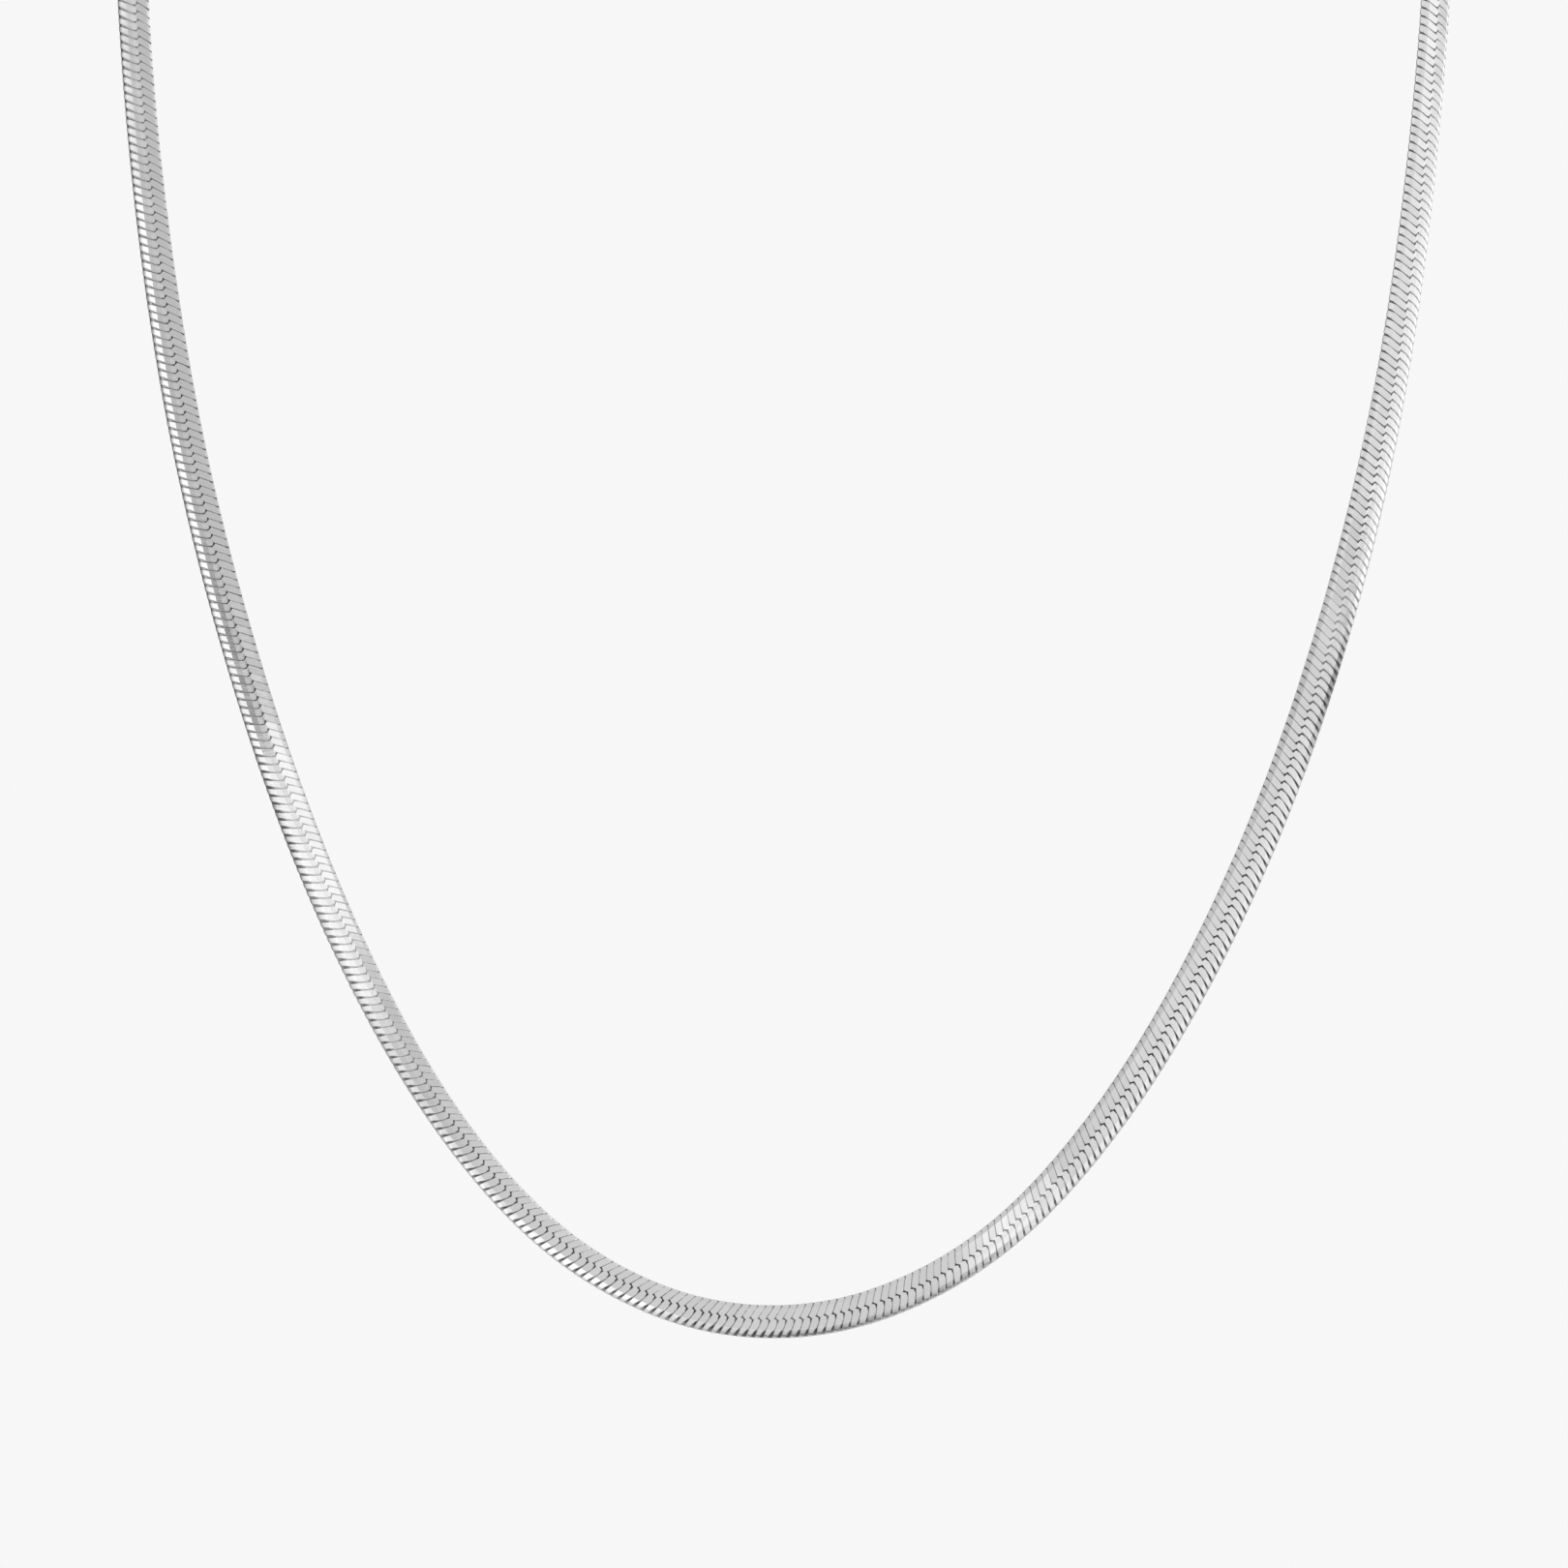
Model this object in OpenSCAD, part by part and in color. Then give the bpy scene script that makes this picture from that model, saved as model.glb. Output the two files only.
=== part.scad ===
// Herringbone chain necklace, held open the way it hangs round a neck.
// X runs to the right in the front view, Y runs backwards and Z up.
// The origin is the centre of the neck opening, at the level where the loop is widest.

/* [Chain] */
// Width of the chain across its face
chain_w = 3.0; // [2:0.1:5]
// Thickness of the chain at its middle
chain_t = 0.95; // [0.7:0.05:1.5]

/* [Loop] */
// Distance between the two strands where the loop is widest, centre to centre
loop_w = 110.2; // [90:0.2:140]
// Depth of the front drape below the widest level
front_drop = 128.6; // [80:0.2:180]
// Sideways shift of the lowest point, to the left in the front view
low_shift = 0.9; // [0:0.1:5]
// Length up the back of the loop, from the widest level to the nape
nape_rise = 72.5; // [50:0.5:100]

/* [Shoulders] */
// Radius over which the loop folds backwards on the shoulders
fold_r = 20; // [10:1:35]
// Angle of that fold
fold_angle = 60; // [30:5:75]
// Start of the fold, below the widest level
fold_below = 16; // [5:1:30]

/* [End caps] */
// Length of an end cap along the chain
cap_l = 4.0; // [3:0.1:6]
// Wall of an end cap round the chain
cap_wall = 0.3; // [0.2:0.05:0.6]
// Solid end of a cap, behind its pocket
cap_end = 0.8; // [0.4:0.1:1.5]
// Ring radius of a cap's eye, to the middle of the wire
eye_r = 1.0; // [0.9:0.05:1.5]
// Wire diameter of the eyes and of the clasp's tail loop
eye_wire = 0.6; // [0.4:0.05:0.7]

/* [Clasp] */
// Thickness of the clasp
clasp_t = 1.3; // [1:0.1:1.8]
// Radius of the clasp's tail end
tail_end_r = 1.5; // [1.2:0.1:2]
// Radius of the clasp's nose
nose_r = 2.4; // [2.1:0.1:3.2]
// Distance between the centres of those two ends
clasp_span = 4.0; // [3:0.1:6]
// Width of the metal round the clasp's opening
claw_bar = 0.8; // [0.6:0.05:1]
// Length of the clasp's opening, between its end centres
claw_run = 2.0; // [1:0.1:2.5]
// Ring radius of the clasp's tail loop, to the middle of the wire
tail_loop_r = 1.0; // [0.9:0.05:1.5]
// Ring radius of the clasp ring, to the middle of the wire
ring_r = 1.6; // [1.5:0.05:2.2]
// Wire diameter of the clasp ring
ring_wire = 0.7; // [0.5:0.05:0.8]

/* [Clearances] */
// Gap between the chain and the pocket of an end cap
cap_gap = 0.08; // [0.05:0.01:0.15]
// Gap between rings that hang in each other
link_gap = 0.1; // [0.05:0.01:0.2]

/* [Hidden] */
$fn = 64;

// Places round the loop are turns in degrees: 0 where the left strand is widest, 90 at the lowest
// point, 180 where the right strand is widest, with the nape a quarter turn beyond each side.
nape_turn = 90;
front_turn = 180;
front_step = 1.5;
back_step = 3;

// Roll of the chain about its own run. Columns: turn, angle. The outer edge comes forwards where the
// angle is above 0, and the inner edge where it is below.
nape_roll = -45;
roll_rows = [
    [-90, nape_roll],
    [-60, -36],
    [-20, 6],
    [8, 31],
    [24, 23],
    [40, 13],
    [52, 24],
    [62, 31],
    [74, 30],
    [88, 24],
    [106, 22],
    [120, 14],
    [132, 7],
    [142, 0],
    [150, -10],
    [158, -24],
    [172, -34],
    [200, -38],
    [240, -43],
    [270, nape_roll]
];

// Slight bends of the hanging front. Columns: turn, shift outwards as a share of the chain's width.
bend_rows = [
    [0, 0],
    [12, 0.03],
    [24, 0.02],
    [36, -0.07],
    [48, -0.06],
    [60, 0.05],
    [70, 0.1],
    [80, 0],
    [90, -0.08],
    [100, -0.03],
    [110, 0.07],
    [120, 0.03],
    [132, -0.01],
    [144, 0.02],
    [156, 0.03],
    [168, -0.03],
    [180, 0]
];

// Section of the chain. Columns: share of the half width, share of the half thickness.
section_rows = [[1, 0], [0.98, 0.28], [0.92, 0.5], [0.58, 1]];

// Findings at the nape, as stations along their straight stretch from the mouth of the left cap.
half_t = clasp_t / 2;
left_eye_x = cap_l + eye_r;
tail_loop_x = left_eye_x + linked(eye_r, eye_wire, tail_loop_r, eye_wire);
tail_end_x = tail_loop_x + tail_loop_r + tail_end_r;
nose_x = tail_end_x + clasp_span;
claw_x = nose_x + nose_r - claw_bar;
ring_reach = sqrt(pow(ring_r - ring_wire / 2 - link_gap, 2) - pow(half_t, 2));
ring_x = claw_x + ring_reach;
right_eye_x = ring_x + linked(ring_r, ring_wire, eye_r, eye_wire);
findings_l = right_eye_x + eye_r + cap_l;
half_nape = findings_l / 2;
pocket_l = cap_l - cap_end;

// Distance between the centres of two rings that hang in each other
function linked(r1, wire1, r2, wire2) = r1 + r2 - (wire1 + wire2) / 2 - link_gap;

// Smooth value at place t, from rows of place and value
function row_slope(rows, i) = (i == 0 || i == len(rows) - 1)
    ? 0
    : (rows[i + 1][1] - rows[i - 1][1]) / (rows[i + 1][0] - rows[i - 1][0]);
function row_before(rows, t, i = 0) = (i >= len(rows) - 2 || t < rows[i + 1][0])
    ? i
    : row_before(rows, t, i + 1);
function smooth_value(rows, t) =
    let (
        i = row_before(rows, t),
        h = rows[i + 1][0] - rows[i][0],
        f = (t - rows[i][0]) / h
    )
    (1 + 2 * f) * pow(1 - f, 2) * rows[i][1]
        + f * pow(1 - f, 2) * h * row_slope(rows, i)
        + f * f * (3 - 2 * f) * rows[i + 1][1]
        + f * f * (f - 1) * h * row_slope(rows, i + 1);

// The loop laid flat: across, and up from the widest level
half_w = loop_w / 2;
function flat_front(turn) =
    let (
        way = [-cos(turn) / half_w, -sin(turn) / front_drop],
        bend = smooth_value(bend_rows, turn) * chain_w
    )
    [-half_w * cos(turn) - low_shift * pow(sin(turn), 2), -front_drop * sin(turn)]
        + bend * way / norm(way);
function flat_left_back(turn) = [-half_nape - (half_w - half_nape) * cos(turn), -nape_rise * sin(turn)];
function flat_right_back(turn) = [half_nape - (half_w - half_nape) * cos(turn), -nape_rise * sin(turn)];
function flat_point(turn) = turn < 0
    ? flat_left_back(turn)
    : turn > front_turn ? flat_right_back(turn) : flat_front(turn);
small_turn = 0.02;
function flat_way(turn) =
    let (step = flat_point(turn + small_turn) - flat_point(turn - small_turn))
    step / norm(step);

// The flat loop folded backwards over the shoulders
fold_end = -fold_below + fold_r * fold_angle * PI / 180;
function fold_at(up) = max(0, min(fold_angle, (up + fold_below) / fold_r * 180 / PI));
function folded(flat) =
    let (
        a = fold_at(flat[1]),
        past = max(0, flat[1] - fold_end),
        below = min(0, flat[1] + fold_below)
    )
    [
        flat[0],
        fold_r * (1 - cos(a)) + past * sin(fold_angle),
        -fold_below + below + fold_r * sin(a) + past * cos(fold_angle)
    ];
nape = folded([0, nape_rise]);
neck_centre = [0, nape[1] / 2, 0];

// A ring of points round the chain at one station
section = concat(
    section_rows,
    [for (i = [len(section_rows) - 1:-1:0]) [-section_rows[i][0], section_rows[i][1]]],
    [for (i = [1:len(section_rows) - 1]) [-section_rows[i][0], -section_rows[i][1]]],
    [for (i = [len(section_rows) - 1:-1:1]) [section_rows[i][0], -section_rows[i][1]]]
);
function ring_at(flat, way, roll) =
    let (
        a = fold_at(flat[1]),
        up = [0, sin(a), cos(a)],
        face = [0, -cos(a), sin(a)],
        outward = [way[1], 0, 0] - way[0] * up,
        across = cos(roll) * outward + sin(roll) * face,
        raised = cos(roll) * face - sin(roll) * outward
    )
    [
        for (p = section)
            folded(flat) - neck_centre + p[0] * chain_w / 2 * across + p[1] * chain_t / 2 * raised
    ];

// Stations of the chain, from the pocket of the left cap round the front to the right one
chain_end = half_nape - pocket_l + cap_gap;
turns = concat(
    [for (t = [-nape_turn:back_step:-back_step]) t],
    [for (t = [0:front_step:front_turn]) t],
    [for (t = [front_turn + back_step:back_step:front_turn + nape_turn]) t]
);
backwards = [-1, 0];
rings = concat(
    [ring_at([-chain_end, nape_rise], backwards, nape_roll)],
    [for (t = turns) ring_at(flat_point(t), flat_way(t), smooth_value(roll_rows, t))],
    [ring_at([chain_end, nape_rise], backwards, nape_roll)]
);

module chain() {
    sides = len(section);
    last = len(rings) - 1;
    wall = [
        for (i = [0:last - 1], k = [0:sides - 1])
            let (n = (k + 1) % sides)
            each [
                [i * sides + k, i * sides + n, (i + 1) * sides + n],
                [i * sides + k, (i + 1) * sides + n, (i + 1) * sides + k]
            ]
    ];
    first_face = [for (k = [sides - 1:-1:0]) k];
    last_face = [for (k = [0:sides - 1]) last * sides + k];
    color("silver")
        polyhedron([for (ring = rings) each ring], concat(wall, [first_face, last_face]));
}

// The frame of the nape: X along the findings from the left cap's mouth, Y to the outer edge
module at_nape() {
    translate(nape - neck_centre)
        rotate([90 - fold_angle + nape_roll, 0, 0])
            translate([-half_nape, 0, 0]) children();
}

module wire_ring(r, wire) {
    rotate_extrude() translate([r, 0]) circle(d = wire);
}

module rounded_bar(w, t, l) {
    r = t / 3;
    rotate([90, 0, 90]) linear_extrude(height = l) {
        square([w - 2 * r, t], center = true);
        square([w, t - 2 * r], center = true);
        for (x = [-1, 1], y = [-1, 1])
            translate([x * (w / 2 - r), y * (t / 2 - r)]) circle(r = r);
    }
}

// The end cap as it lies at the start of the findings, with its mouth at 0
module end_cap() {
    pocket = [for (p = section) [p[0] * (chain_w / 2 + cap_gap), p[1] * (chain_t / 2 + cap_gap)]];
    difference() {
        rounded_bar(chain_w + 2 * (cap_gap + cap_wall), chain_t + 2 * (cap_gap + cap_wall), cap_l);
        translate([-cap_gap, 0, 0])
            rotate([90, 0, 90]) linear_extrude(height = pocket_l + cap_gap) polygon(pocket);
    }
    translate([left_eye_x, 0, 0]) wire_ring(eye_r, eye_wire);
}

module end_cap_left() {
    color("silver") at_nape() end_cap();
}

module end_cap_right() {
    color("silver") at_nape()
        translate([findings_l, 0, 0]) rotate([0, 0, 180]) end_cap();
}

// A plate with two round ends of different radius
module tapered_plate(x1, r1, x2, r2) {
    lean = acos((r1 - r2) / (x2 - x1));
    edge = [cos(lean), sin(lean)];
    translate([x1, 0]) circle(r = r1);
    translate([x2, 0]) circle(r = r2);
    polygon([
        [x1, 0] + r1 * edge,
        [x1 + r1 * edge[0], -r1 * edge[1]],
        [x2 + r2 * edge[0], -r2 * edge[1]],
        [x2, 0] + r2 * edge
    ]);
}

module clasp() {
    claw_share = 1 - claw_run / clasp_span;
    claw_back_r = tail_end_r + (nose_r - tail_end_r) * claw_share;
    color("silver") at_nape() {
        translate([tail_loop_x, 0, 0]) rotate([90, 0, 0]) wire_ring(tail_loop_r, eye_wire);
        translate([0, 0, -half_t]) linear_extrude(height = clasp_t) difference() {
            tapered_plate(tail_end_x, tail_end_r, nose_x, nose_r);
            tapered_plate(nose_x - claw_run, claw_back_r - claw_bar, nose_x, nose_r - claw_bar);
        }
    }
}

module clasp_ring() {
    color("silver") at_nape()
        translate([ring_x, 0, 0]) rotate([90, 0, 0]) wire_ring(ring_r, ring_wire);
}

chain();
end_cap_left();
end_cap_right();
clasp();
clasp_ring();
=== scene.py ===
import math

import bmesh
import bpy
from mathutils import Matrix, Vector


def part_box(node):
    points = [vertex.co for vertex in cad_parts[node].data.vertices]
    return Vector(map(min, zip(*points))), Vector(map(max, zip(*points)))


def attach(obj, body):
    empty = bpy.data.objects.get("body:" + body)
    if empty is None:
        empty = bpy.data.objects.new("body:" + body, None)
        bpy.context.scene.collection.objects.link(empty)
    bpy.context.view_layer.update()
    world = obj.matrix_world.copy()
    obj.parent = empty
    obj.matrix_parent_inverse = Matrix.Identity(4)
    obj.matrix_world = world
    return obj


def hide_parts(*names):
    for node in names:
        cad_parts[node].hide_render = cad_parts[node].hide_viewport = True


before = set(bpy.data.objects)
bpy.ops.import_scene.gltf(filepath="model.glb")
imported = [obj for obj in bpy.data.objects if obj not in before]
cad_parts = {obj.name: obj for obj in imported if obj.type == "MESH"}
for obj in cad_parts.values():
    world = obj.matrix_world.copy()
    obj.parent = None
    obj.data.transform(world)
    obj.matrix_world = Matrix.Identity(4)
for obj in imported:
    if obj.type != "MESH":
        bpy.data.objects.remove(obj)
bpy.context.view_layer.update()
print("frame loaded:", ", ".join(sorted(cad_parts)))

mm = 0.001
collection = bpy.context.scene.collection


# Route of the chain: the same loop that its solid follows. Places on it are turns in degrees:
# 0 where the left strand is widest, 90 at the lowest point, 180 where the right strand is widest,
# with the nape a quarter turn beyond each side.
route = {
    "loopWidth": 110.2 * mm,
    "frontDrop": 128.6 * mm,
    "lowShift": 0.9 * mm,
    "napeRise": 72.5 * mm,
    "foldRadius": 20 * mm,
    "foldAngle": 60,
    "foldBelow": 16 * mm,
    "insideCap": 3.12 * mm,   # how far the band reaches into an end cap
    "frontStep": 1,           # degrees between two stations
    "backStep": 2,
    "wayStep": 0.02,          # degrees on each side that give the direction of the run
    "roll": [                 # turn, roll of the band about its own run
        (-90, -45), (-60, -36), (-20, 6), (8, 31), (24, 23), (40, 13), (52, 24), (62, 31), (74, 30),
        (88, 24), (106, 22), (120, 14), (132, 7), (142, 0), (150, -10), (158, -24), (172, -34),
        (200, -38), (240, -43), (270, -45),
    ],
    "bend": [                 # turn, outward shift as a share of the band's width
        (0, 0), (12, 0.03), (24, 0.02), (36, -0.07), (48, -0.06), (60, 0.05), (70, 0.1), (80, 0),
        (90, -0.08), (100, -0.03), (110, 0.07), (120, 0.03), (132, -0.01), (144, 0.02),
        (156, 0.03), (168, -0.03), (180, 0),
    ],
    "lean": [                 # turn, extra lean of the slats' outer half, in pitches over that half
        (-90, 0), (0, 0), (36, 0.1), (46, 0.2), (56, 0.1), (66, -0.1), (82, 0.2), (108, 0.05),
        (122, 0.32), (134, 0.38), (155, 0.52), (160, 0.45), (170, 0.7), (270, 0),
    ],
    "tilt": [                 # turn, tilt of the slats along the run, in degrees
        (-90, 0), (0, 0.3), (16, 0.8), (30, 1.6), (37, 1.6), (40, -1.8), (50, -1.4), (60, 0), (270, 0),
    ],
    "hook": [                 # turn, how far the slats' hooks lie outwards, in half widths
        (-90, 0), (0, 0.03), (28, 0.01), (46, -0.12), (54, -0.10), (66, 0), (84, 0.02), (110, 0.09),
        (122, 0.05), (146, 0.06), (154, 0.1), (172, 0.06), (270, 0),
    ],
    # How dark the painted shade in the joints is at nine places across the band, how much painted shade
    # the faces of the slats get at two, and how strong the painted soft shade beside the joints is at
    # three: the names of these factors, then the rows, each with its turn and the factors in the same
    # order
    "jointNames": (
        "outerRim", "outerShoulder", "outerQuarter", "outerHalf", "hookOuter", "hookInner", "innerHalf",
        "innerShoulder", "innerRim", "rimFace", "shoulderFace", "shoulderShade", "halfShade",
        "innerShade",
    ),
    "joints": [
        (-90, 1, 1, 1, 1, 1, 1, 1, 1, 1, 0, 0, 0, 0, 0),
        (0, 1.3, 0.5, 0.5, 0.7, 0.1, 0.3, 1.6, 1.8, 1, 0.6, 0, 0.3, 0.2, 0),
        (12, 1.3, 0.35, 0.3, 1, 0.1, 0.5, 1.6, 1.8, 1, 0.5, 0, 0.25, 0.2, 0),
        (24, 1.3, 0.4, 0.1, 0.7, 0, 1.4, 1.2, 2, 1, 0.6, 0, 0.2, 0.3, 0.2),
        (33, 1.3, 0.4, 0, 0.6, 0, 1.8, 1.2, 1.8, 1, 0.8, 0, 0.2, 0.3, 0),
        (38, 1.3, 0.6, 0.4, 0.3, 0, 0.8, 0.2, 0.2, 1, 0.6, 0, 0.1, 0.2, 0),
        (41, 1.3, 1.3, 1, 0.15, 0, 0, 0, 0.1, 1, 0.6, 0.1, 0.2, 0, 0),
        (46, 1, 0.8, 0.4, 0.2, 0, 0, 0.1, 0.2, 1, 0.8, 0.25, 0.1, 0, 0),
        (53, 0.8, 1.1, 0.45, 0.35, 0.1, 0.25, 0.3, 0.5, 1, 0.5, 0.15, 0.1, 0, 0),
        (62, 0.6, 1.5, 1.1, 1.4, 0.4, 1, 1, 0.6, 1, 0.1, 0, 0.1, 0, 0),
        (74, 0.7, 1.3, 0.8, 1.3, 0.7, 1.3, 1.1, 0.6, 1, 0.1, 0, 0.2, 0, 0),
        (82, 0.8, 1.7, 0.7, 1.2, 1.2, 1.4, 1, 0.5, 1, 0, 0, 0.7, 0, 0),
        (90, 1.1, 1.8, 0.4, 0.9, 0.5, 0.6, 0.5, 0.5, 1, 0, 0, 1.4, 0, 0),
        (98, 0.4, 1, 0.2, 0.5, 1, 1.7, 0.5, 0.6, 1, 0, 0.15, 0.1, 0, 0),
        (105, 0.5, 1.1, 0.2, 0.4, 0.6, 1.5, 0.2, 0.4, 1, 0, 0, 0, 0, 0),
        (111, 0.7, 1, 0.5, 0.4, 0.4, 0.4, 0.1, 0.3, 1, 0.1, 0, 0, 0, 0),
        (118, 0.7, 1.3, 1.2, 1, 1.5, 0.9, 0.9, 0.6, 1, 0.15, 0, 0.2, 0, 0),
        (128, 0.7, 1.4, 1.6, 1.2, 1.7, 1.1, 0.7, 0.4, 1, 0.2, 0, 0.2, 0, 0),
        (137, 0.8, 1.3, 1.5, 1.2, 1.1, 0.9, 1.2, 0.7, 1, 0.1, 0, 0.1, 0, 0),
        (141.5, 0.8, 1.3, 1.6, 0.9, 1, 1, 1.3, 1.2, 1, 0.1, 0, 0.1, 0.1, 0.2),
        (144.5, 0.6, 1.5, 1.2, 0.4, 0.7, 0.7, 1, 1.4, 1, 0.1, 0, 1.9, 0.3, 0.3),
        (147.5, 0.5, 0.5, 0.6, 0.3, 0.4, 0.3, 0.5, 0.9, 1, 0.3, 0, 0.2, 0.2, 0),
        (151, 0.6, 0.2, 0.1, 0.1, 0.9, 0.8, 2.6, 2, 1, 0.6, 0, 0, 0, 0.7),
        (158, 0.6, 0.3, 0.2, 0.2, 0.4, 0.5, 2.6, 2, 1, 0.6, 0, 0, 0, 0.4),
        (166, 0.6, 0.3, 0.2, 0.2, 0.3, 0.4, 2.2, 1.8, 1, 0.6, 0, 0, 0, 0.4),
        (180, 0.6, 0.3, 0.2, 0.3, 0.3, 0.5, 2, 1.6, 1, 0.6, 0, 0, 0, 0.4),
        (270, 1, 1, 1, 1, 1, 1, 1, 1, 1, 0, 0, 0, 0, 0),
    ],
}

chain = {
    "width": 3.0 * mm,
    "thickness": 0.95 * mm,
    "pitch": 0.705 * mm,
    "grooveDrop": (0.02, 0.30),   # depth of the palest and the darkest groove, in half thicknesses
    "deepestGroove": 0.6,     # limit of that depth, as a share of the height that the link has there
    "faceLean": 1.2,          # degrees that a slat's two halves lean forward and back
    "leanReach": 0.9,         # how far in from the outer edge the extra lean grows, in half widths
    "shiftSpread": 0.012,     # spread of the links along the run, in pitches
    "turnSpread": (0.7, 0.5, 0.7),   # and about the run, the width and the face, in degrees
    "seed": 7,
    # A link from the outer edge to the inner edge: place as a share of the half width, forward shift
    # and length in pitches, height as a share of the half thickness, run of the groove on each side in
    # pitches, darkness of the groove (it sets the groove's depth and its painted shade), and the joints
    # factor that scales that painted shade
    "linkRows": [
        (0.99, -0.02, 0.50, 0.04, 0.08, 0.90, "outerRim"),
        (0.93, 0.05, 0.74, 0.24, 0.09, 0.80, "outerRim"),
        (0.82, 0.15, 0.85, 0.50, 0.12, 0.80, "outerShoulder"),
        (0.60, 0.42, 0.94, 0.965, 0.12, 0.50, "outerQuarter"),
        (0.30, 0.68, 0.975, 0.98, 0.08, 0.22, "outerHalf"),
        (0.01, 0.82, 0.92, 1.00, 0.12, 0.75, "hookOuter"),
        (-0.09, 0.47, 0.82, 1.00, 0.12, 1.00, "hookInner"),
        (-0.17, 0.48, 0.96, 0.99, 0.08, 0.30, "innerHalf"),
        (-0.64, 1.06, 0.985, 0.965, 0.08, 0.25, "innerShoulder"),
        (-0.83, 1.29, 0.93, 0.62, 0.09, 0.50, "innerShoulder"),
        (-0.99, 1.40, 0.80, 0.12, 0.08, 0.90, "innerRim"),
    ],
    # Rows whose face gets painted shade: how dark it gets, and its factor
    "shadedFaces": {0: (1.0, "rimFace"), 1: (0.6, "rimFace"), 2: (1.0, "shoulderFace")},
    # Rows with a soft shade beside their joints: its factor. Next to them it fades out with softFade.
    "softRows": {
        1: "shoulderShade", 2: "shoulderShade", 3: "halfShade", 4: "halfShade", 9: "innerShade",
    },
    "softFade": "halfShade",
    "foldRows": (3, 8),       # where the flat face meets the two shoulders
    # The body under the slats, painted dark as the shade seen through the gaps, on the outer side:
    # place, height, darkness, joints factor
    "coreRows": [
        (0.97, 0.0, 0.8, "outerRim"), (0.93, 0.12, 0.9, "outerRim"),
        (0.78, 0.42, 1.0, "outerShoulder"), (0.55, 0.6, 1.0, "hookInner"),
    ],
    "innerFactor": {"outerRim": "innerRim", "outerShoulder": "innerShoulder", "hookInner": "hookInner"},
    "coreStep": 1.4 * mm,
}


def smoothValue(rows, place):
    # a smooth curve through the rows' second values, flat at both ends
    last = len(rows) - 1
    i = 0
    while i < last - 1 and place >= rows[i + 1][0]:
        i += 1

    def slope(k):
        if k == 0 or k == last:
            return 0
        return (rows[k + 1][1] - rows[k - 1][1]) / (rows[k + 1][0] - rows[k - 1][0])

    span = rows[i + 1][0] - rows[i][0]
    f = (place - rows[i][0]) / span
    before = (1 + 2 * f) * rows[i][1] + f * span * slope(i)
    after = (3 - 2 * f) * rows[i + 1][1] + (f - 1) * span * slope(i + 1)
    return (1 - f) ** 2 * before + f * f * after


halfNape = -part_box("end_cap_left")[0].x   # the mouths of the end caps are this far from the middle


def flatPoint(turn):
    # the loop laid flat: across, and up from the widest level
    a = math.radians(turn)
    halfWidth = route["loopWidth"] / 2
    if 0 <= turn <= 180:
        way = Vector((-math.cos(a) / halfWidth, -math.sin(a) / route["frontDrop"])).normalized()
        across = -halfWidth * math.cos(a) - route["lowShift"] * math.sin(a) ** 2
        bend = smoothValue(route["bend"], turn) * chain["width"]
        return Vector((across, -route["frontDrop"] * math.sin(a))) + bend * way
    side = -1 if turn < 0 else 1
    across = side * halfNape - (halfWidth - halfNape) * math.cos(a)
    return Vector((across, -route["napeRise"] * math.sin(a)))


def folded(flat):
    # the flat loop bent backwards over the shoulders
    limit = math.radians(route["foldAngle"])
    radius, start = route["foldRadius"], -route["foldBelow"]
    a = min(max((flat.y - start) / radius, 0), limit)
    past = max(0, flat.y - start - radius * limit)
    below = min(0, flat.y - start)
    back = radius * (1 - math.cos(a)) + past * math.sin(limit)
    up = start + below + radius * math.sin(a) + past * math.cos(limit)
    return Vector((flat.x, back, up)), a


neckCentre = Vector((0, folded(Vector((0, route["napeRise"])))[0].y / 2, 0))


def station(flat, way, roll):
    # place, direction to the outer edge, direction out of the face
    point, a = folded(flat)
    roll = math.radians(roll)
    up = Vector((0, math.sin(a), math.cos(a)))
    face = Vector((0, -math.cos(a), math.sin(a)))
    outward = Vector((way.y, 0, 0)) - way.x * up
    across = math.cos(roll) * outward + math.sin(roll) * face
    raised = math.cos(roll) * face - math.sin(roll) * outward
    return point - neckCentre, across, raised


def makeRoute():
    turns = [-90 + i * route["backStep"] for i in range(90 // route["backStep"])]
    turns += [i * route["frontStep"] for i in range(180 // route["frontStep"] + 1)]
    turns += [180 + (i + 1) * route["backStep"] for i in range(90 // route["backStep"])]
    backwards = Vector((-1, 0))
    bandEnd = halfNape - route["insideCap"]
    stations = []
    near = route["wayStep"]
    for turn in turns:
        way = (flatPoint(turn + near) - flatPoint(turn - near)).normalized()
        stations.append((*station(flatPoint(turn), way, smoothValue(route["roll"], turn)), turn))
    for side, end in ((-1, 0), (1, len(stations))):
        turn = 90 + side * 180
        flat = Vector((side * bandEnd, route["napeRise"]))
        stations.insert(end, (*station(flat, backwards, route["roll"][0][1]), turn))
    points = [s[0] for s in stations]
    mesh = bpy.data.meshes.new("route")
    mesh.from_pydata(points, [(i, i + 1) for i in range(len(points) - 1)], [])
    for name, column in (("across", 1), ("raised", 2)):
        layer = mesh.attributes.new(name, "FLOAT_VECTOR", "POINT")
        layer.data.foreach_set("vector", [c for s in stations for c in s[column]])
    tables = {name: route[name] for name in ("lean", "tilt", "hook")}
    for k, name in enumerate(route["jointNames"]):
        tables[name] = [(r[0], r[k + 1]) for r in route["joints"]]
    for name, rows in tables.items():
        layer = mesh.attributes.new(name, "FLOAT", "POINT")
        layer.data.foreach_set("value", [smoothValue(rows, s[3]) for s in stations])
    curve = bpy.data.objects.new("route", mesh)
    collection.objects.link(curve)
    return curve, sum((b - a).length for a, b in zip(points, points[1:]))


def setFactors(mesh, layerName, factors):
    # which joints factor each point follows, as its place in the names
    layer = mesh.attributes.new(layerName, "INT", "POINT")
    layer.data.foreach_set("value", [route["jointNames"].index(name) for name in factors])


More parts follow.
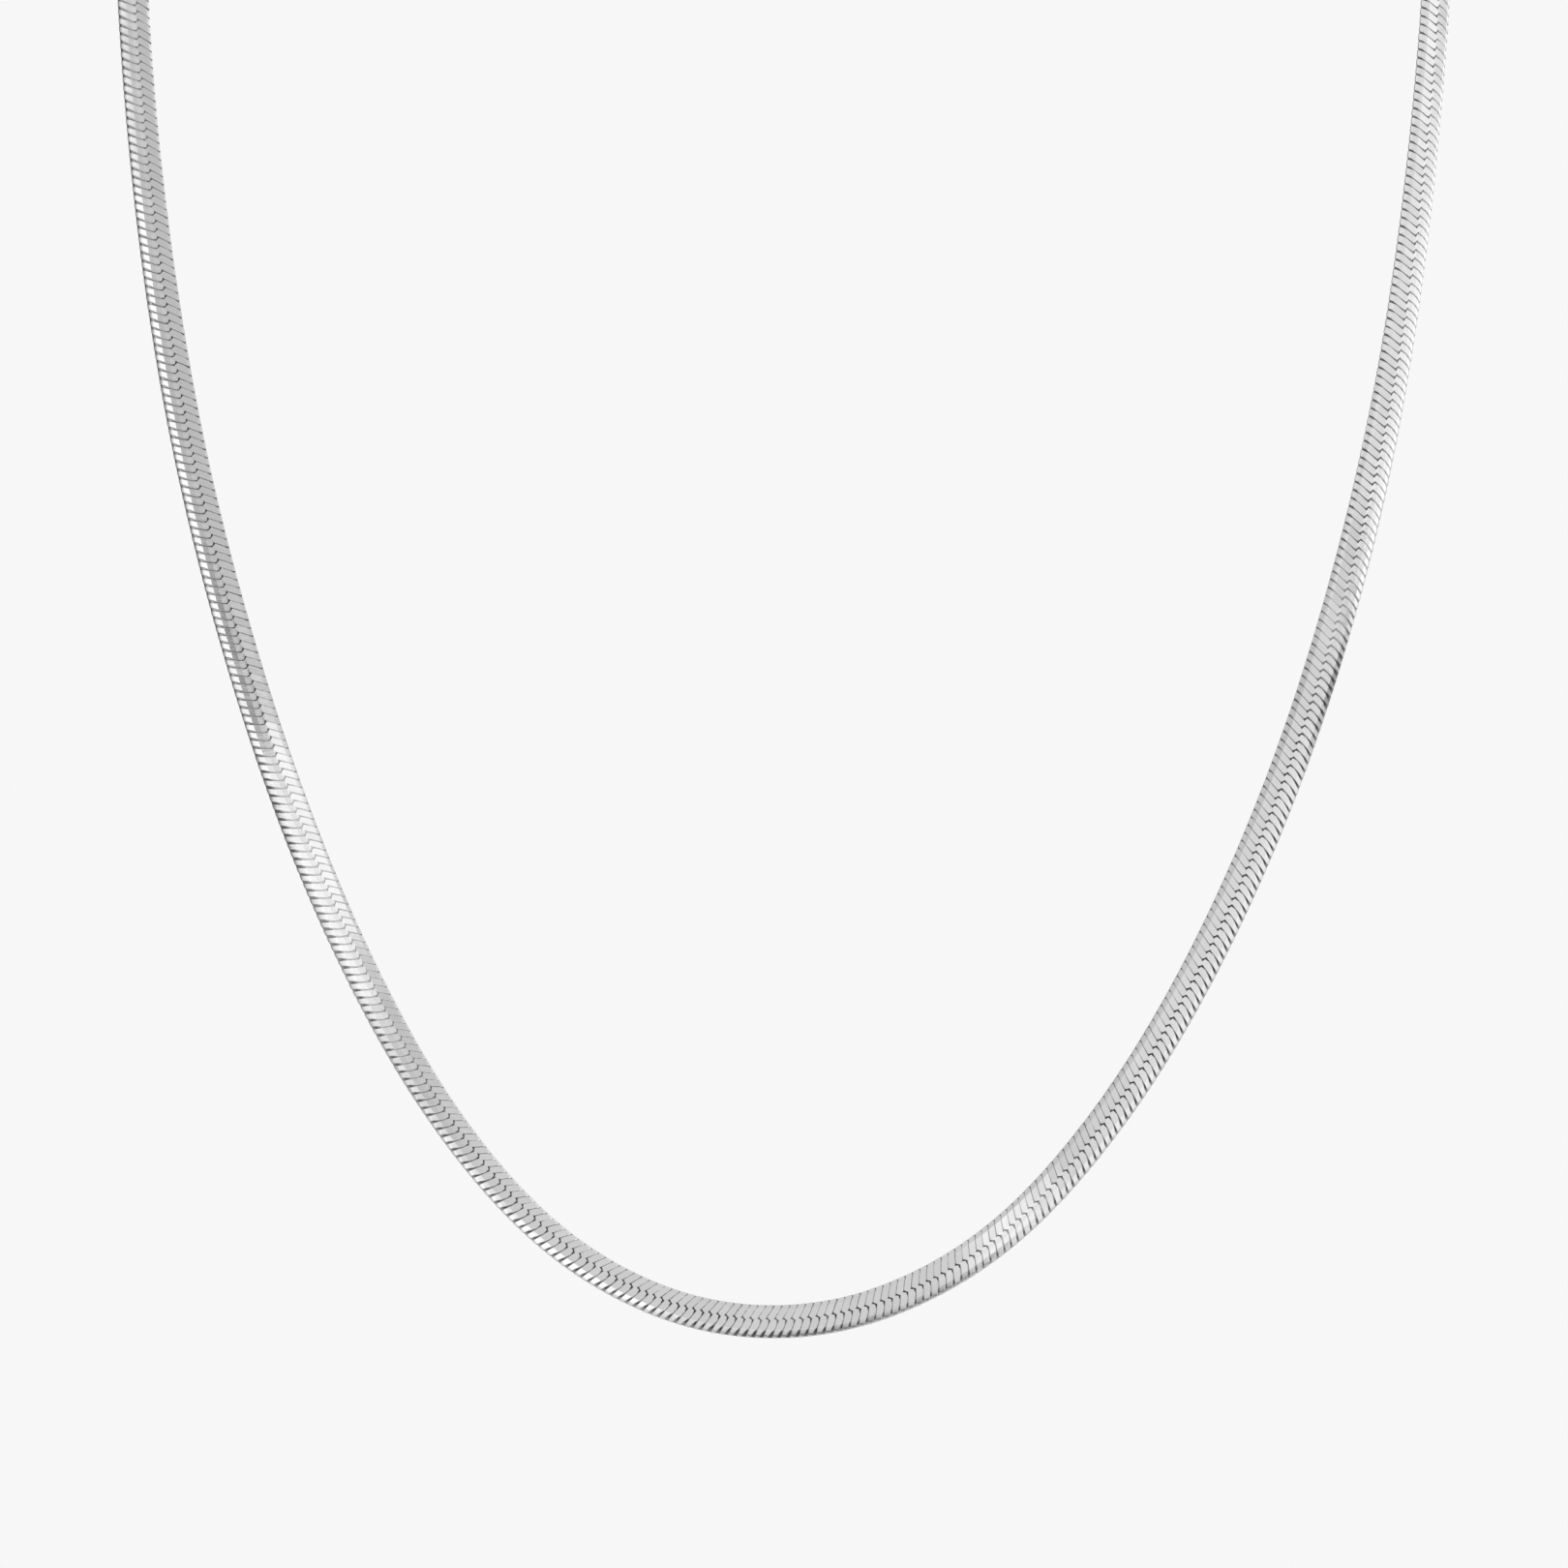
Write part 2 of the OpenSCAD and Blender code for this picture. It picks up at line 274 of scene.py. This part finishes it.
def closedMesh(name, points, faces, dark, factors):
    # a closed mesh with its faces outwards, how much painted shade each point's joint gets and which
    # factor it follows
    mesh = bpy.data.meshes.new(name)
    mesh.from_pydata(points, [], faces)
    bm = bmesh.new()
    bm.from_mesh(mesh)
    bmesh.ops.recalc_face_normals(bm, faces=bm.faces)
    bm.to_mesh(mesh)
    bm.free()
    mesh.attributes.new("gap", "FLOAT", "POINT").data.foreach_set("value", dark)
    setFactors(mesh, "column", factors)
    return mesh


def makeLink():
    # one slat, closed, with X along the run, Y to the outer edge and Z out of the face
    rows = chain["linkRows"]
    pitch, halfWidth, halfThick = chain["pitch"], chain["width"] / 2, chain["thickness"] / 2
    middle = sum(r[1] for r in rows) / len(rows) + 0.5
    points, faces, sharp, dark, factors, slat, soft = [], [], [], [], [], [], []
    low, high = chain["grooveDrop"]
    for r, (place, shift, length, height, groove, joint, factor) in enumerate(rows):
        start = (shift + 0.5 - length / 2 - middle) * pitch
        end = start + length * pitch
        run = groove * pitch
        top = height * halfThick
        slope = math.copysign(math.tan(math.radians(chain["faceLean"])), -place)
        half = (end - start) / 2
        drop = min(low + (high - low) * joint, chain["deepestGroove"] * height) * halfThick
        ring = [(-half, top - drop), (run - half, top), (half - run, top), (half, top - drop)]
        ring += [(half - run / 2, -top), (run / 2 - half, -top)]
        points += [(start + half + x, place * halfWidth, z + slope * x) for x, z in ring]
        slat += [c for x, z in ring for c in (x, place * halfWidth, r in chain["softRows"])]
        # painted shade: the groove edges get the row's darkness, and shaded faces get their own
        face, faceFactor = chain["shadedFaces"].get(r, (0, factor))
        dark += [joint, face, face, joint, 0, 0]
        factors += [factor, faceFactor, faceFactor, factor, factor, factor]
        soft += [chain["softRows"].get(r, chain["softFade"])] * len(ring)
    n = len(ring)
    for r in range(len(rows) - 1):
        for k in range(n):
            m = (k + 1) % n
            faces.append((r * n + k, (r + 1) * n + k, (r + 1) * n + m, r * n + m))
            sharp.append((r * n + k, (r + 1) * n + k))
    for r in (0, *chain["foldRows"], len(rows) - 1):
        sharp += [(r * n + k, r * n + (k + 1) % n) for k in range(n)]
    last = (len(rows) - 1) * n
    faces += [tuple(range(n)), tuple(last + k for k in reversed(range(n)))]
    mesh = closedMesh("link", points, faces, dark, factors)
    sharp = {frozenset(e) for e in sharp}
    for edge in mesh.edges:
        edge.use_edge_sharp = frozenset(edge.vertices) in sharp
    mesh.polygons.foreach_set("use_smooth", [True] * len(mesh.polygons))
    layer = mesh.attributes.new("slat", "FLOAT_VECTOR", "POINT")
    layer.data.foreach_set("vector", slat)
    setFactors(mesh, "softColumn", soft)
    link = bpy.data.objects.new("link", mesh)
    collection.objects.link(link)
    return link, middle


def makeCore(length):
    # the body that the links share, straight along X, painted dark as the shade seen through the gaps
    outer = chain["coreRows"]
    upper = outer + [(-p, h, d, chain["innerFactor"][f]) for p, h, d, f in reversed(outer)]
    ring = upper + [(p, -h, d, f) for p, h, d, f in reversed(upper[1:-1])]
    n = len(ring)
    count = int(length / chain["coreStep"]) + 1
    points, faces, dark, factors = [], [], [], []
    for i in range(count):
        x = length * i / (count - 1)
        points += [(x, p * chain["width"] / 2, h * chain["thickness"] / 2) for p, h, d, f in ring]
        dark += [d for p, h, d, f in ring]
        factors += [f for p, h, d, f in ring]
    for i in range(count - 1):
        for k in range(n):
            m = (k + 1) % n
            faces.append((i * n + k, (i + 1) * n + k, (i + 1) * n + m, i * n + m))
    last = (count - 1) * n
    faces += [tuple(range(n)), tuple(last + k for k in reversed(range(n)))]
    mesh = closedMesh("core", points, faces, dark, factors)
    core = bpy.data.objects.new("core", mesh)
    collection.objects.link(core)
    return core


class Tree:
    # a node tree with short ways to add a node and to join two sockets
    def __init__(self, tree):
        self.tree = tree

    def add(self, kind, settings=None, **values):
        node = self.tree.nodes.new(kind)
        for name, value in (settings or {}).items():
            setattr(node, name, value)
        for name, value in values.items():
            self.feed(node, name.replace("_", " "), value)
        return node

    def socket(self, sockets, name):
        if isinstance(name, int):
            return sockets[name]
        return next(s for s in sockets if s.enabled and s.name.lower() == name.lower())

    def feed(self, node, name, value):
        target = self.socket(node.inputs, name)
        if isinstance(value, tuple) and isinstance(value[0], bpy.types.Node):
            self.tree.links.new(self.socket(value[0].outputs, value[1]), target)
        elif isinstance(value, bpy.types.Node):
            self.tree.links.new(next(s for s in value.outputs if s.enabled), target)
        else:
            target.default_value = value
        return node


def scalar(t, how, *values):
    node = t.add("ShaderNodeMath", {"operation": how})
    for k, value in enumerate(values):
        t.feed(node, k, value)
    return node


def vector(t, how, first, second, socket=1):
    node = t.add("ShaderNodeVectorMath", {"operation": how})
    t.feed(node, 0, first)
    t.feed(node, socket, second)
    return node


def scaled(t, value, factor):
    return vector(t, "SCALE", value, factor, 3)   # the factor's socket


def mixedColour(t, share, first, second):
    # a mix node's sockets for colours, and its output for one
    node = t.add("ShaderNodeMix", {"data_type": "RGBA"})
    for socket, value in ((0, share), (6, first), (7, second)):
        t.feed(node, socket, value)
    return node, 2


def chainTree():
    tree = bpy.data.node_groups.new("chainLinks", "GeometryNodeTree")
    tree.is_modifier = True
    inputs = [
        ("Geometry", "NodeSocketGeometry"), ("Route", "NodeSocketObject"),
        ("Link", "NodeSocketObject"), ("Core", "NodeSocketObject"), ("Links", "NodeSocketInt"),
        ("Start", "NodeSocketFloat"), ("Pitch", "NodeSocketFloat"), ("Width", "NodeSocketFloat"),
        ("Shift Spread", "NodeSocketFloat"), ("Turn Spread", "NodeSocketVector"),
        ("Seed", "NodeSocketInt"), ("Metal", "NodeSocketMaterial"),
    ]
    sockets = {n: tree.interface.new_socket(n, in_out="INPUT", socket_type=k) for n, k in inputs}
    tree.interface.new_socket("Geometry", in_out="OUTPUT", socket_type="NodeSocketGeometry")
    t = Tree(tree)
    given = t.add("NodeGroupInput")

    def named(name, kind):
        return t.add("GeometryNodeInputNamedAttribute", {"data_type": kind}, Name=name)

    def along(value, length, kind="FLOAT_VECTOR"):
        settings = {"mode": "LENGTH", "data_type": kind}
        return t.add("GeometryNodeSampleCurve", settings, Curves=curve, Value=value, Length=length)

    def routeValue(name, length):
        return along(named(name, "FLOAT"), length, "FLOAT"), "Value"

    def randomWithin(spread, offset, kind="FLOAT_VECTOR"):
        seed = scalar(t, "ADD", (given, "Seed"), offset)
        node = t.add("FunctionNodeRandomValue", {"data_type": kind}, Max=spread, Seed=seed)
        if kind == "FLOAT_VECTOR":
            low = scaled(t, spread, -1)
        else:
            low = scalar(t, "MULTIPLY", spread, -1)
        t.feed(node, "Min", low)
        return node

    routeMesh = t.add("GeometryNodeObjectInfo", Object=(given, "Route"))
    curve = t.add("GeometryNodeMeshToCurve", Mesh=(routeMesh, "Geometry"))

    # links in a straight row, each a little out of line
    step = t.add("ShaderNodeCombineXYZ", X=(given, "Pitch"))
    first = t.add("ShaderNodeCombineXYZ", X=(given, "Start"))
    row = t.add("GeometryNodeMeshLine", {"mode": "OFFSET"}, Count=(given, "Links"),
                Start_Location=first, Offset=step)
    spread = scalar(t, "MULTIPLY", (given, "Pitch"), (given, "Shift Spread"))
    jitter = t.add("ShaderNodeCombineXYZ", X=randomWithin(spread, 1, "FLOAT"))
    row = t.add("GeometryNodeSetPosition", Geometry=row, Offset=jitter)
    linkMesh = t.add("GeometryNodeObjectInfo", Object=(given, "Link"))
    here = t.add("ShaderNodeSeparateXYZ", Vector=t.add("GeometryNodeInputPosition"))
    tiltTurn = t.add("ShaderNodeCombineXYZ", Y=routeValue("tilt", (here, "X")))
    turn = vector(t, "ADD", randomWithin((given, "Turn Spread"), 2), tiltTurn)
    rotation = t.add("FunctionNodeEulerToRotation", Euler=scaled(t, turn, math.pi / 180))
    links = t.add("GeometryNodeInstanceOnPoints", Points=row, Instance=(linkMesh, "Geometry"),
                  Rotation=rotation)
    tone = randomWithin(1.0, 3, "FLOAT")   # from -1 to 1
    links = t.add("GeometryNodeStoreNamedAttribute", {"data_type": "FLOAT", "domain": "INSTANCE"},
                  Geometry=links, Name="linkTone", Value=tone)
    links = t.add("GeometryNodeRealizeInstances", Geometry=links)

    # the body under them, and both bent along the route
    coreMesh = t.add("GeometryNodeObjectInfo", Object=(given, "Core"))
    straight = t.add("GeometryNodeJoinGeometry")
    tree.links.new(links.outputs[0], straight.inputs[0])
    tree.links.new(coreMesh.outputs["Geometry"], straight.inputs[0])
    place = t.add("ShaderNodeSeparateXYZ", Vector=t.add("GeometryNodeInputPosition"))
    sampled = [routeValue(name, (place, "X")) for name in route["jointNames"]]

    def chosen(column):
        switch = t.add("GeometryNodeIndexSwitch", {"data_type": "FLOAT"}, Index=named(column, "INT"))
        while len(switch.index_switch_items) < len(sampled):
            switch.index_switch_items.new()
        for k, value in enumerate(sampled):
            t.feed(switch, k + 1, value)
        return switch

    # painted shade of the grooves, the shaded faces and the body under the slats, scaled by each point's
    # factor
    joint = scalar(t, "MINIMUM", scalar(t, "MULTIPLY", named("gap", "FLOAT"), chosen("column")), 1)
    for name, value in (("joint", joint), ("softShade", chosen("softColumn"))):
        straight = t.add("GeometryNodeStoreNamedAttribute", {"data_type": "FLOAT", "domain": "POINT"},
                         Geometry=straight, Name=name, Value=value)
    lean = routeValue("lean", (place, "X"))
    halfWidth = scalar(t, "DIVIDE", (given, "Width"), 2)
    share = scalar(t, "DIVIDE", (place, "Y"), halfWidth)
    middle = scalar(t, "SUBTRACT", 1, scalar(t, "MINIMUM", scalar(t, "MULTIPLY", share, share), 1))
    hook = scalar(t, "MULTIPLY", routeValue("hook", (place, "X")), halfWidth)
    width = scalar(t, "MULTIPLY_ADD", hook, scalar(t, "MULTIPLY", middle, middle), (place, "Y"))
    inwards = scalar(t, "MINIMUM", scalar(t, "SUBTRACT", 1, share), chain["leanReach"])
    leaned = scalar(t, "MULTIPLY", scalar(t, "MULTIPLY", lean, (given, "Pitch")), inwards)
    run = scalar(t, "ADD", (place, "X"), leaned)
    across = along(named("across", "FLOAT_VECTOR"), run)
    raised = along(named("raised", "FLOAT_VECTOR"), run)
    outwards = scaled(t, (across, "Value"), width)
    upwards = scaled(t, (raised, "Value"), (place, "Z"))
    bent = vector(t, "ADD", (across, "Position"), vector(t, "ADD", outwards, upwards))
    body = t.add("GeometryNodeSetPosition", Geometry=straight, Position=bent)
    body = t.add("GeometryNodeFlipFaces", Mesh=body)   # across, raised and the run are left-handed
    body = t.add("GeometryNodeRealizeInstances", Geometry=body)
    body = t.add("GeometryNodeSetMaterial", Geometry=body, Material=(given, "Metal"))
    out = t.add("NodeGroupOutput")
    tree.links.new(body.outputs[0], out.inputs[0])
    return tree, {n: s.identifier for n, s in sockets.items()}


chainFinish = {
    "silver": (0.90, 0.90, 0.905),
    "toneSpread": 0.03,       # from link to link
    # colour that the painted shade of the grooves, the shaded faces and the body under the slats mixes
    # towards
    "paintedShadeColour": (0.10, 0.10, 0.10),
    "grooveShadeFall": 0.9,        # how soon the grooves' painted shade darkens with its value
    "roughness": (0.10, 0.17),
    "streakSize": 0.16 * mm,  # rolling marks along the slats
    "streakStretch": 0.3,
    "streakDetail": 2.0,
    "streakRoughness": 0.6,
    "streakShift": 40,        # how far the marks of two links differ
    "streakStrength": 0.15,
    "streakRelief": 0.02 * mm,
}


def newMetal(name):
    metal = bpy.data.materials.new(name)
    metal.use_nodes = True
    shader = metal.node_tree.nodes["Principled BSDF"]
    shader.inputs["Metallic"].default_value = 1
    return metal, shader


def chainMetal():
    metal, shader = newMetal("chainMetal")
    t = Tree(metal.node_tree)
    joint, soft, tone, slat = (t.add("ShaderNodeAttribute", {"attribute_name": name})
                               for name in ("joint", "softShade", "linkTone", "slat"))
    stretched = vector(t, "MULTIPLY", (slat, "Vector"), (1, chainFinish["streakStretch"], 1))
    streaks = t.add("ShaderNodeTexNoise", {"noise_dimensions": "4D"}, Vector=stretched,
                    Scale=1 / chainFinish["streakSize"], Detail=chainFinish["streakDetail"],
                    Roughness=chainFinish["streakRoughness"])
    t.feed(streaks, "W", scalar(t, "MULTIPLY", (tone, "Fac"), chainFinish["streakShift"]))
    bump = t.add("ShaderNodeBump", Strength=chainFinish["streakStrength"],
                 Distance=chainFinish["streakRelief"], Height=(streaks, "Fac"))
    low, high = ((*(c * (1 + k * chainFinish["toneSpread"]) for c in chainFinish["silver"]), 1)
                 for k in (-1, 1))
    silver = mixedColour(t, scalar(t, "MULTIPLY_ADD", (tone, "Fac"), 0.5, 0.5), low, high)

    # painted shade: the grooves darken by their depth, and the slats beside them by how near their ends
    # are
    parts = t.add("ShaderNodeSeparateXYZ", Vector=(slat, "Vector"))
    aside = scalar(t, "MULTIPLY", (parts, "X"), 2 / chain["pitch"])
    shade = scalar(t, "MULTIPLY", scalar(t, "MULTIPLY", aside, aside), (parts, "Z"))
    groove = scalar(t, "POWER", (joint, "Fac"), chainFinish["grooveShadeFall"])
    darkness = scalar(t, "MULTIPLY_ADD", shade, (soft, "Fac"), groove)
    darkness.use_clamp = True
    # the silver mixed towards the painted shade colour
    t.feed(shader, "Base Color", mixedColour(t, darkness, silver, (*chainFinish["paintedShadeColour"], 1)))
    smoothest, roughest = chainFinish["roughness"]
    rough = t.add("ShaderNodeMapRange", Value=(streaks, "Fac"), To_Min=smoothest, To_Max=roughest)
    t.feed(shader, "Roughness", rough)
    t.feed(shader, "Normal", bump)
    return metal


def makeChain():
    curve, length = makeRoute()
    link, middle = makeLink()
    core = makeCore(length)
    rows = chain["linkRows"]
    reach = max(r[1] for r in rows) + 1     # how far one link runs forward, in pitches
    count = int(length / chain["pitch"] - reach)
    tree, sockets = chainTree()
    holder = bpy.data.objects.new("chainHolder", bpy.data.meshes.new("chainHolder"))
    collection.objects.link(holder)
    modifier = holder.modifiers.new("links", "NODES")
    modifier.node_group = tree
    values = {
        "Route": curve, "Link": link, "Core": core, "Links": count,
        "Start": middle * chain["pitch"], "Pitch": chain["pitch"], "Width": chain["width"],
        "Shift Spread": chain["shiftSpread"], "Turn Spread": chain["turnSpread"],
        "Seed": chain["seed"], "Metal": chainMetal(),
    }
    for name, value in values.items():
        modifier[sockets[name]] = value
    bpy.context.view_layer.update()
    seen = holder.evaluated_get(bpy.context.evaluated_depsgraph_get())
    mesh = bpy.data.meshes.new_from_object(seen)
    mesh.name = "herringboneChain"
    for helper in (holder, curve, link, core):
        bpy.data.objects.remove(helper)
    piece = bpy.data.objects.new("herringbone_chain", mesh)
    collection.objects.link(piece)
    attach(piece, "root")
    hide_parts("chain")
    triangles = sum(len(p.vertices) - 2 for p in mesh.polygons)
    print("chain:", count, "links,", round(length, 4), "m,", triangles, "triangles")


# Findings at the nape, of the chain's own metal
findings = {
    "nodes": ("end_cap_left", "end_cap_right", "clasp", "clasp_ring"),
    "roughness": 0.12,
}


def finishFindings():
    metal, shader = newMetal("findingsMetal")
    shader.inputs["Base Color"].default_value = (*chainFinish["silver"], 1)
    shader.inputs["Roughness"].default_value = findings["roughness"]
    for name in findings["nodes"]:
        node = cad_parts[name]
        for place in node.material_slots:
            place.material = metal
    print("findings: polished")


# Camera and studio
camera = {
    "distance": 1.0,          # from the front of the chain
    "frameWidth": 131.4 * mm, # what the frame takes in at that distance
    "middle": (-0.12 * mm, -83.29 * mm),
    "sensorWidth": 36,        # in millimetres, like the lens
    "clip": (0.05, 20),
}


def makeCamera():
    data = bpy.data.cameras.new("camera")
    data.sensor_width = camera["sensorWidth"]
    data.lens = data.sensor_width * camera["distance"] / camera["frameWidth"]
    data.clip_start, data.clip_end = camera["clip"]
    eye = bpy.data.objects.new("camera", data)
    front = -neckCentre.y
    eye.location = (camera["middle"][0], front - camera["distance"], camera["middle"][1])
    eye.rotation_euler = (math.radians(90), 0, 0)
    collection.objects.link(eye)
    bpy.context.scene.camera = eye


studio = {
    "background": 0.931,
    "heights": [              # elevation, brightness of the room
        (-90, 0.70), (-34, 0.74), (-18, 0.80), (-8, 0.74), (4, 0.71), (14, 0.66), (28, 0.66), (50, 0.68),
        (90, 0.64),
    ],
    # What the metal mirrors, seen from the chain: azimuth (0 is the camera, right is plus), elevation,
    # half width, half height, turn, softness, brightness
    "panels": [
        ("wallLeftFar", -88, 30, 28, 20, 0, 0.30, 0.61),
        ("wallRight", 84, 10.5, 60, 10.5, 0, 0.12, 0.55),
        ("wallRightFar", 122, 28, 14, 9, 0, 0.40, 0.55),
        ("windowInner", 95, 27.5, 12, 6.2, 8, 0.15, 1.10),
        ("lampStrip", 27.9, 15.0, 12.5, 5.0, 31, 0.18, 1.06),
        ("wallStrip", 37, 4, 9, 3, 4, 0.50, 0.48),
        ("wallStripEnd", 28.5, 7.4, 4.6, 2.2, 10, 0.30, 0.56),
        ("flagStrip", 25, 2.0, 6.2, 3.3, 0, 0.20, 0.16),
        ("topRight", 49, 25, 5, 4, 0, 0.50, 0.55),
        ("windowRightLow", 45, -1.8, 30, 3.0, 3, 0.40, 1.06),
        ("wallBelow", 14, -5.9, 12, 2.2, 0, 0.30, 0.60),
        ("windowFarRight", 118, -6, 42, 10, 8, 0.15, 1.20),
        ("wallLeft", -20, 4, 24, 5.5, -12, 0.30, 0.75),
        ("cardFarLeft", -34, 8, 10, 5, -12, 0.30, 0.97),
        ("flagFarLeft", -60, 16, 10, 7, 0, 0.40, 0.54),
        ("cardMid", -10, 13, 8, 8, 0, 0.60, 0.82),
        ("cardCentre", 3, 5, 8, 4, 0, 0.30, 0.90),
        ("wallMiddle", -4, 1, 18, 3.0, -20, 0.40, 0.71),
        ("cardLeft", -35, -12, 23, 4.2, 25, 0.15, 1.22),
        ("cardLow", -11, -14, 8, 5, 0, 0.30, 1.32),
        ("flagEdge", -54.3, -9.8, 28, 5.8, 26, 0.15, 0.40),
        ("flagUnder", -34, -19, 20, 3.6, 14, 0.15, 0.46),
        ("windowLow", 58, -20.5, 28, 5.2, 14, 0.25, 0.96),
        ("floorFront", 13.5, -34.5, 13, 4.7, 8, 0.25, 0.22),
        ("dogleg", 84, -14.1, 15, 1.7, -5, 0.12, 0.16),
        ("cardUpperLeft", -25, 27, 8, 5, 0, 0.50, 1.05),
        ("cardInner", 129, 17, 10, 5, 0, 0.40, 0.92),
        ("windowBehind", 180, 22, 34, 16, 0, 0.20, 0.85),
        ("wallBehindLeft", -125, 5, 22, 26, 0, 0.20, 0.45),
    ],
}


def addPanel(t, direction, below, name, azimuth, elevation, halfWidth, halfHeight, turn, softness,
             brightness):
    # the direction in the panel's own frame, scaled so that the panel runs from -1 to 1
    size = [math.sin(math.radians(a)) for a in (halfWidth, halfHeight)]
    a, e, r = (math.radians(v) for v in (azimuth, elevation, turn))
    away = Vector((math.sin(a) * math.cos(e), -math.cos(a) * math.cos(e), math.sin(e)))
    side = Vector((math.cos(a), math.sin(a), 0))
    top = side.cross(away) * -1
    side, top = (side * math.cos(r) + top * math.sin(r), top * math.cos(r) - side * math.sin(r))
    parts = []
    for axis, reach in ((side, size[0]), (top, size[1])):
        dot = vector(t, "DOT_PRODUCT", direction, axis / reach)
        dot.label = name
        parts.append(scalar(t, "ABSOLUTE", (dot, "Value")))
    ahead = vector(t, "DOT_PRODUCT", direction, away)
    edge = scalar(t, "MAXIMUM", *parts)
    inside = t.add("ShaderNodeMapRange", {"interpolation_type": "SMOOTHSTEP"}, Value=edge,
                   From_Min=1 + softness, From_Max=1 - softness)
    facing = scalar(t, "GREATER_THAN", (ahead, "Value"), 0)
    mix = t.add("ShaderNodeMix", {"data_type": "FLOAT"})
    t.feed(mix, 0, scalar(t, "MULTIPLY", inside, facing))
    t.feed(mix, 2, below)
    t.feed(mix, 3, brightness)
    return mix


def makeSurroundings():
    sky = bpy.data.worlds.new("studio")
    sky.use_nodes = True
    bpy.context.scene.world = sky
    sky.node_tree.nodes.clear()
    t = Tree(sky.node_tree)
    coords = t.add("ShaderNodeTexCoord")
    direction = t.add("ShaderNodeVectorMath", {"operation": "NORMALIZE"})
    t.feed(direction, 0, (coords, "Generated"))
    parts = t.add("ShaderNodeSeparateXYZ", Vector=direction)
    height = t.add("ShaderNodeMapRange", Value=(parts, "Z"), From_Min=-1)
    curve = t.add("ShaderNodeFloatCurve", Value=height)
    points = curve.mapping.curves[0].points
    levels = [((math.sin(math.radians(e)) + 1) / 2, v) for e, v in studio["heights"]]
    points[0].location, points[-1].location = levels[0], levels[-1]
    for place, level in levels[1:-1]:
        points.new(place, level)
    curve.mapping.update()
    below = curve
    for panel in studio["panels"]:
        below = addPanel(t, direction, below, *panel)
    around = t.add("ShaderNodeBackground", Color=below)
    level = studio["background"]
    behind = t.add("ShaderNodeBackground", Color=(level, level, level, 1))
    path = t.add("ShaderNodeLightPath")
    mix = t.add("ShaderNodeMixShader", Fac=(path, "Is Camera Ray"))
    t.feed(mix, 1, around)
    t.feed(mix, 2, behind)
    t.add("ShaderNodeOutputWorld", Surface=mix)
    print("studio:", len(studio["panels"]), "panels")


paleFloor = {
    "radius": 0.25,
    "segments": 96,
    "level": -0.17,
    "colour": (0.8, 0.8, 0.8, 1),
    "glow": 0.37,             # lit from below, as pale as the backdrop
}


def makeFloor():
    mesh = bpy.data.meshes.new("floor")
    bm = bmesh.new()
    bmesh.ops.create_circle(bm, cap_ends=True, radius=paleFloor["radius"],
                            segments=paleFloor["segments"])
    bm.to_mesh(mesh)
    bm.free()
    mesh.transform(Matrix.Translation((0, 0, paleFloor["level"])))
    pale = bpy.data.materials.new("floorPale")
    pale.use_nodes = True
    shader = pale.node_tree.nodes["Principled BSDF"]
    shader.inputs["Base Color"].default_value = paleFloor["colour"]
    shader.inputs["Roughness"].default_value = 1
    shader.inputs["Specular IOR Level"].default_value = 0
    shader.inputs["Emission Color"].default_value = (1, 1, 1, 1)
    shader.inputs["Emission Strength"].default_value = paleFloor["glow"]
    mesh.materials.append(pale)
    floor = bpy.data.objects.new("floor", mesh)
    floor.visible_glossy = False      # the metal mirrors the studio in its place
    collection.objects.link(floor)


makeCamera()
makeSurroundings()
makeFloor()
makeChain()
finishFindings()

bpy.context.scene.view_settings.view_transform = "Standard"
